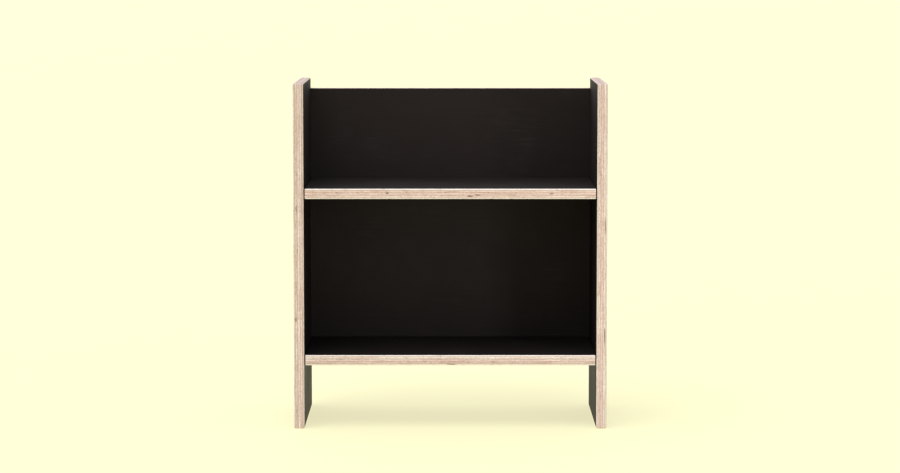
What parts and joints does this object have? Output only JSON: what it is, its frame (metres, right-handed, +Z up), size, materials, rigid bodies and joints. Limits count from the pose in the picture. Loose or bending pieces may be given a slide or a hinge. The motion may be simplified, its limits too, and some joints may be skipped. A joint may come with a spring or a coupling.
{
  "type": "record storage stand",
  "caption": "Open-legged storage stand for record sleeves: two full-height plywood side panels carry two shelves and two black back panels, joined with dowels and connector bolts.",
  "frame": {"origin": "on the floor, at the centre of the rectangle that the two side panels stand in", "axes": "+Z up, -Y towards the front where records are put in, +X to the right as seen from the front"},
  "size_m": [0.72, 0.37, 0.795],
  "materials": {
    "faced_plywood": "birch plywood with smooth black film on both faces and bare, lightly oiled edges",
    "black_back_board": "thin birch plywood with smooth black film on both faces",
    "beech": "plain turned dowel",
    "black_steel": "satin black oxide",
    "zinc_steel": "bright zinc plate"
  },
  "bodies": {
    "root": {"left_side_panel": "faced_plywood", "right_side_panel": "faced_plywood", "upper_shelf": "faced_plywood", "lower_shelf": "faced_plywood", "upper_back_panel": "black_back_board", "lower_back_panel": "black_back_board", "upper_left_dowels": "beech", "upper_right_dowels": "beech", "lower_left_dowels": "beech", "lower_right_dowels": "beech", "upper_left_connector_bolts": "black_steel", "upper_right_connector_bolts": "black_steel", "lower_left_connector_bolts": "black_steel", "lower_right_connector_bolts": "black_steel", "upper_left_barrel_nuts": "zinc_steel", "upper_right_barrel_nuts": "zinc_steel", "lower_left_barrel_nuts": "zinc_steel", "lower_right_barrel_nuts": "zinc_steel"}
  },
  "joints": []
}
